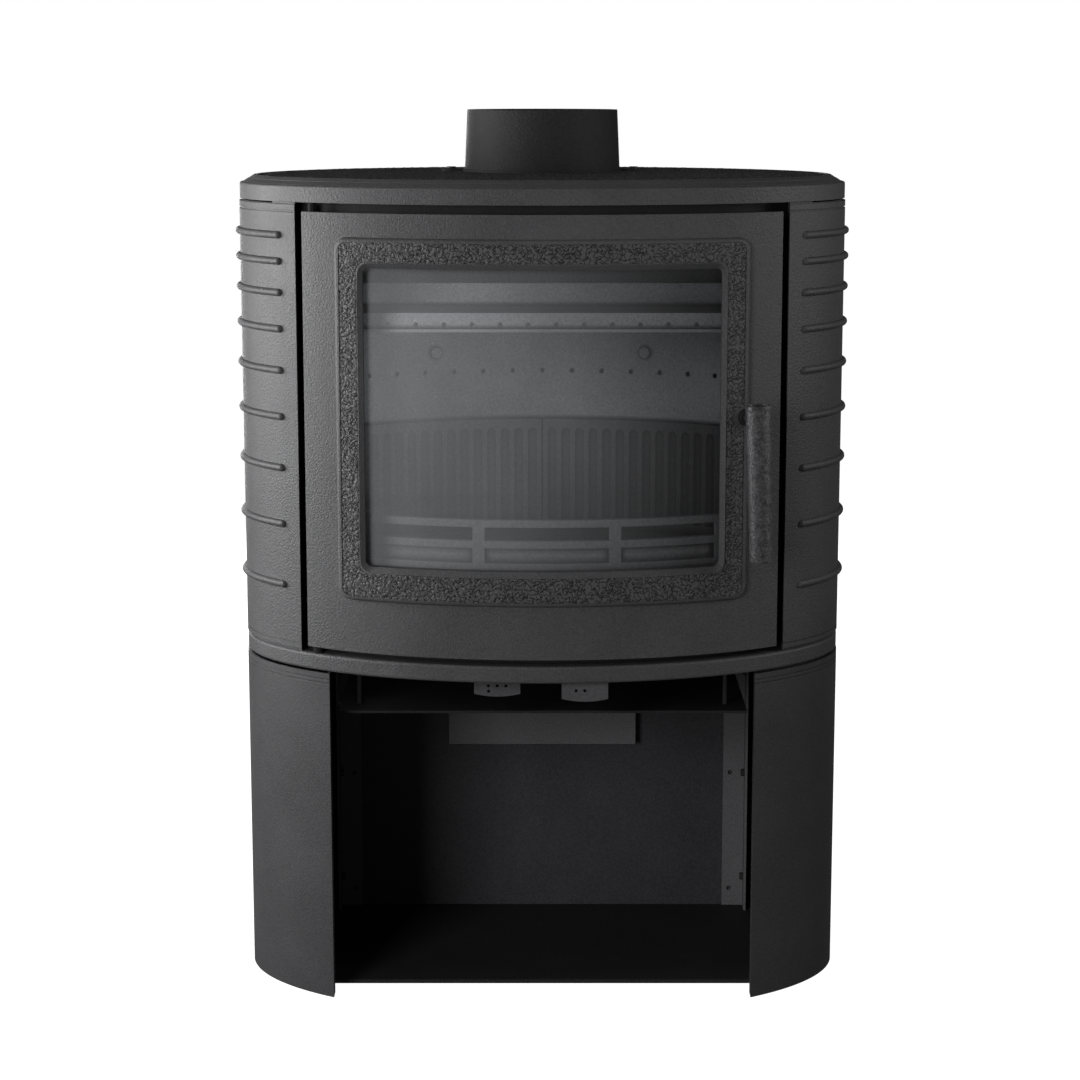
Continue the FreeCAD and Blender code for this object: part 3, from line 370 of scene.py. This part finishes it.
def wrinkle(x, z):
    """Height from 0 to 1 of the cast wrinkles at a point of a flat map, in metres."""
    fold = abs(noise.noise(Vector((x, z, 0.3)) / WRINKLE)) / WRINKLE_PEAK
    cross = abs(noise.noise(Vector((z, x, 4.1)) / (0.8 * WRINKLE))) / WRINKLE_PEAK
    height = min(1.0, fold) * (0.6 + 0.4 * min(1.0, cross))
    return height * height * (3.0 - 2.0 * height)


def relief_mesh(name, low, high, step, distance_in, surface):
    """Grid over the part of a flat rectangle where distance_in is positive.

    distance_in(u, v) is the distance inside the edge; surface(u, v, lift) is the 3D point."""
    columns = round((high[0] - low[0]) / step)
    rows = round((high[1] - low[1]) / step)
    mesh = bmesh.new()
    made = {}

    def corner(i, j):
        if (i, j) not in made:
            u = low[0] + i * step
            v = low[1] + j * step
            inside = distance_in(u, v)
            fade = min(1.0, max(0.0, inside / EDGE_FADE))
            made[(i, j)] = mesh.verts.new(surface(u, v, fade * wrinkle(u, v)))
        return made[(i, j)]

    for i in range(columns):
        for j in range(rows):
            u = low[0] + (i + 0.5) * step
            v = low[1] + (j + 0.5) * step
            if distance_in(u, v) > 0.0:
                ring = [corner(i, j), corner(i + 1, j), corner(i + 1, j + 1), corner(i, j + 1)]
                mesh.faces.new(ring)
    data = bpy.data.meshes.new(name)
    mesh.to_mesh(data)
    mesh.free()
    data.shade_smooth()
    piece = bpy.data.objects.new(name, data)
    bpy.context.scene.collection.objects.link(piece)
    piece.data.materials.append(RELIEF)
    return piece


def inside_rounded(u, v, half, low, high, radius):
    """Distance of a point inside a rounded rectangle; negative outside."""
    du = abs(u) - (half - radius)
    dv = abs(v - (low + high) / 2) - ((high - low) / 2 - radius)
    if du > 0.0 and dv > 0.0:
        return radius - math.hypot(du, dv)
    return radius - max(du, dv)


def door_band_relief():
    """Wrinkled face of the raised frame round the glass."""
    bush_low, bush_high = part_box("spindle_bush")
    bush_x = bush_low.x + BUSH_SETBACK
    bush_z = (bush_low.z + bush_high.z) / 2

    def distance_in(u, v):
        outer = inside_rounded(u, v, BAND_HALF - BAND_EDGE, BAND_LOW + BAND_EDGE,
                               BAND_HIGH - BAND_EDGE, BAND_CORNER)
        inner = inside_rounded(u, v, SIGHT_HALF + SIGHT_EDGE, SIGHT_LOW - SIGHT_EDGE,
                               SIGHT_HIGH + SIGHT_EDGE, BAND_CORNER)
        from_bush = math.hypot(u - bush_x, v - bush_z) - BUSH_CLEAR
        return min(outer, -inner, from_bush)

    def surface(u, v, lift):
        outset = BAND_RISE - BAND_RECESS + DOOR_SEAT + lift * (BAND_RECESS - DOOR_SHORT)
        return Vector((u, front_y(u, outset), v))

    piece = relief_mesh("door_frame_relief", (-BAND_HALF, BAND_LOW), (BAND_HALF, BAND_HIGH),
                        DOOR_GRID, distance_in, surface)
    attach(piece, "door")


def top_field_relief():
    """Wrinkled field of the top plate, inside its groove and round the flue collar."""
    collar_low, collar_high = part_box("flue_collar")
    top_z = collar_low.z
    collar_y = (collar_low.y + collar_high.y) / 2
    collar_radius = (collar_high.x - collar_low.x) / 2

    def distance_in(u, v):
        depth = (FRONT_DEPTH if v < 0 else BACK_DEPTH) - TOP_FIELD_INSET
        half = HALF_WIDTH - TOP_FIELD_INSET
        size = math.hypot(u / half, v / depth)
        slope = math.hypot(u / half ** 2, v / depth ** 2) / max(size, 1e-6)
        from_rim = (1.0 - size) / max(slope, 1e-6)
        from_collar = math.hypot(u, v - collar_y) - collar_radius - COLLAR_CLEAR
        return min(from_rim, from_collar)

    def surface(u, v, lift):
        return Vector((u, v, top_z + TOP_SEAT + lift * TOP_LIFT))

    piece = relief_mesh("top_plate_relief", (-HALF_WIDTH, -FRONT_DEPTH), (HALF_WIDTH, BACK_DEPTH),
                        TOP_GRID, distance_in, surface)
    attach(piece, "stove")


door_band_relief()
top_field_relief()


# ---- floor, lights and camera ----

FLOOR_SIZE = 56.0
BACKDROP_RADIUS = 38.0
FLOOR_DROP = 0.2 * MM
WORLD_LIGHT = 0.07

def glow_material(name, base, strength):
    """White stage material that lights itself."""
    n = Nodes(name)
    shader = n.shader(0.0, 0.2)
    shader.inputs["Base Color"].default_value = (base, base, base, 1.0)
    shader.inputs["Roughness"].default_value = 0.9
    shader.inputs["Emission Color"].default_value = (1.0, 1.0, 1.0, 1.0)
    shader.inputs["Emission Strength"].default_value = strength
    return n.material


def hide_from_light(piece):
    """Keep a stage piece from lighting or shading the stove."""
    piece.visible_diffuse = False
    piece.visible_glossy = False
    piece.visible_transmission = False


def pale_stage():
    bpy.ops.mesh.primitive_plane_add(size=FLOOR_SIZE, location=(0, 0, cad_low.z - FLOOR_DROP))
    floor = bpy.context.object
    floor.name = "studio_floor"
    floor.data.materials.append(glow_material("studio_floor", 0.3, 1.0))
    hide_from_light(floor)
    bpy.ops.mesh.primitive_uv_sphere_add(segments=48, ring_count=24, radius=BACKDROP_RADIUS)
    backdrop = bpy.context.object
    backdrop.name = "studio_backdrop"
    backdrop.data.materials.append(glow_material("studio_backdrop", 0.0, 1.0))
    hide_from_light(backdrop)
    backdrop.visible_shadow = False


def add_light(name, kind, place, aim, power, mirrored):
    """Lamp at place, turned to aim; the camera never sees it."""
    data = bpy.data.lights.new(name, kind)
    data.energy = power
    light = bpy.data.objects.new(name, data)
    light.location = place
    turn = (Vector(aim) - Vector(place)).to_track_quat("-Z", "Y")
    light.rotation_euler = turn.to_euler()
    light.visible_glossy = mirrored
    light.visible_camera = False
    bpy.context.scene.collection.objects.link(light)
    return data


def soft_light(name, place, aim, size, power, mirrored=True):
    """Rectangular studio light."""
    data = add_light(name, "AREA", place, aim, power, mirrored)
    data.shape = "RECTANGLE"
    data.size, data.size_y = size


def glass_lamp(place, aim, power):
    """Narrow lamp that shines through the glass at the fireback."""
    data = add_light("glass_lamp", "SPOT", place, aim, power, mirrored=False)
    data.spot_size = math.radians(12.0)
    data.spot_blend = 1.0
    data.shadow_soft_size = 0.08


def studio():
    middle = (0.0, 0.0, 0.5)
    soft_light("left_light", (-1.3, -0.05, 0.76), (0.0, 0.0, 0.62), (0.7, 0.6), 21.0)
    soft_light("front_key", (-1.15, -2.3, 0.90), middle, (0.8, 1.3), 48.0, mirrored=False)
    soft_light("right_light", (1.35, -0.25, 1.0), (0.0, 0.0, 0.75), (0.5, 0.6), 4.9)
    soft_light("back_light", (-0.6, 2.6, 0.55), (0.0, 0.0, 0.45), (1.6, 0.9), 40.0)
    glass_lamp((0.62, -1.95, 0.62), (-0.12, 0.10, 0.60), 44.0)
    world = bpy.data.worlds.new("studio")
    world.use_nodes = True
    glow = world.node_tree.nodes["Background"]
    glow.inputs["Color"].default_value = (1.0, 1.0, 1.0, 1.0)
    glow.inputs["Strength"].default_value = WORLD_LIGHT
    bpy.context.scene.world = world


CAMERA_BACK = 2.588
CAMERA_HEIGHT = 0.8985
CAMERA_PITCH = 10.08
LENS = 86.27
SIDE_SHIFT = -0.00213


def camera():
    data = bpy.data.cameras.new("camera")
    data.sensor_width = 36.0
    data.lens = LENS
    data.shift_x = SIDE_SHIFT
    data.clip_end = 100.0
    view = bpy.data.objects.new("camera", data)
    view.location = (0.0, -CAMERA_BACK, CAMERA_HEIGHT)
    view.rotation_euler = (math.radians(90.0 - CAMERA_PITCH), 0.0, 0.0)
    bpy.context.scene.collection.objects.link(view)
    bpy.context.scene.camera = view


pale_stage()
studio()
camera()
bpy.context.scene.view_settings.view_transform = "Standard"
